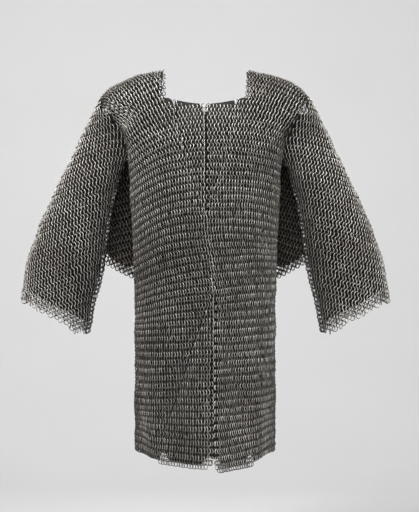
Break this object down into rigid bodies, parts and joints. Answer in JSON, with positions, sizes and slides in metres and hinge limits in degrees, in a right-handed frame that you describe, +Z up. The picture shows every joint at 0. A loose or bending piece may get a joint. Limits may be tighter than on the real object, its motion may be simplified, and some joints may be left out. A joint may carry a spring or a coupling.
{
  "type": "hauberk",
  "caption": "Mail shirt of linked iron rings with elbow-length sleeves, a slit neck with two flaps and a skirt split in front.",
  "frame": {"origin": "midway between the two shoulder points, where the arms turn", "axes": "+Z up, the front of the shirt faces -Y, +X towards the wearer's left"},
  "size_m": [0.754, 0.2312, 0.813],
  "materials": {
    "mail_iron": "worn dark iron wire, linked rings",
    "edge_ring_iron": "worn iron wire, a little brighter",
    "lining_cloth": "matt black cloth"
  },
  "bodies": {
    "shirt": {"left_back": "mail_iron", "left_back_lining": "lining_cloth", "left_back_skirt": "mail_iron", "left_chest": "mail_iron", "left_front_lining": "lining_cloth", "left_shoulder": "mail_iron", "left_shoulder_lining": "lining_cloth", "left_side_skirt": "mail_iron", "left_underarm_gusset": "mail_iron", "neck_ring_01": "edge_ring_iron", "neck_ring_02": "edge_ring_iron", "right_back": "mail_iron", "right_back_lining": "lining_cloth", "right_back_skirt": "mail_iron", "right_chest": "mail_iron", "right_front_lining": "lining_cloth", "right_shoulder": "mail_iron", "right_shoulder_lining": "lining_cloth", "right_side_skirt": "mail_iron", "right_underarm_gusset": "mail_iron"},
    "right_sleeve": {"right_cuff": "mail_iron", "right_cuff_ring_01": "edge_ring_iron", "right_cuff_ring_02": "edge_ring_iron", "right_cuff_ring_03": "edge_ring_iron", "right_sleeve_back": "mail_iron", "right_sleeve_front": "mail_iron", "right_sleeve_lining": "lining_cloth"},
    "left_sleeve": {"left_cuff": "mail_iron", "left_cuff_ring_01": "edge_ring_iron", "left_cuff_ring_02": "edge_ring_iron", "left_cuff_ring_03": "edge_ring_iron", "left_sleeve_back": "mail_iron", "left_sleeve_front": "mail_iron", "left_sleeve_lining": "lining_cloth"},
    "right_skirt_flap": {"right_front_skirt": "mail_iron", "right_front_skirt_lining": "lining_cloth", "right_hem_ring_01": "edge_ring_iron", "right_hem_ring_02": "edge_ring_iron", "right_hem_ring_03": "edge_ring_iron", "right_hem_ring_04": "edge_ring_iron", "right_hem_ring_05": "edge_ring_iron", "right_hem_ring_06": "edge_ring_iron", "right_hem_ring_07": "edge_ring_iron", "right_hem_ring_08": "edge_ring_iron", "right_hem_ring_09": "edge_ring_iron", "right_hem_ring_10": "edge_ring_iron"},
    "left_skirt_flap": {"left_front_skirt": "mail_iron", "left_front_skirt_lining": "lining_cloth", "left_hem_ring_01": "edge_ring_iron", "left_hem_ring_02": "edge_ring_iron", "left_hem_ring_03": "edge_ring_iron", "left_hem_ring_04": "edge_ring_iron", "left_hem_ring_05": "edge_ring_iron", "left_hem_ring_06": "edge_ring_iron", "left_hem_ring_07": "edge_ring_iron", "left_hem_ring_08": "edge_ring_iron"},
    "right_neck_flap": {"right_neck_flap": "mail_iron", "right_neck_flap_lining": "lining_cloth"},
    "left_neck_flap": {"left_neck_flap": "mail_iron", "left_neck_flap_lining": "lining_cloth"}
  },
  "joints": [
    {"name": "right_sleeve_lift", "type": "hinge", "parent": "shirt", "child": "right_sleeve", "pos_m": [-0.21, 0, 0.004], "axis": [0, 1, 0], "range_deg": [0, 40]},
    {"name": "left_sleeve_lift", "type": "hinge", "parent": "shirt", "child": "left_sleeve", "pos_m": [0.21, 0, 0.004], "axis": [0, -1, 0], "range_deg": [0, 40]},
    {"name": "right_skirt_flap_fold", "type": "hinge", "parent": "shirt", "child": "right_skirt_flap", "pos_m": [-0.0467, -0.0852, -0.5688], "axis": [-0.3312, 0.0802, -0.9402], "range_deg": [0, 70]},
    {"name": "left_skirt_flap_fold", "type": "hinge", "parent": "shirt", "child": "left_skirt_flap", "pos_m": [0.0656, -0.0833, -0.576], "axis": [-0.2465, -0.0883, 0.9651], "range_deg": [0, 70]},
    {"name": "right_neck_flap_fold", "type": "hinge", "parent": "shirt", "child": "right_neck_flap", "pos_m": [-0.0409, -0.1027, -0.1111], "axis": [0.2993, -0.1212, -0.9464], "range_deg": [0, 60]},
    {"name": "left_neck_flap_fold", "type": "hinge", "parent": "shirt", "child": "left_neck_flap", "pos_m": [0.0409, -0.1027, -0.1111], "axis": [0.2993, 0.1212, 0.9464], "range_deg": [0, 60]}
  ]
}
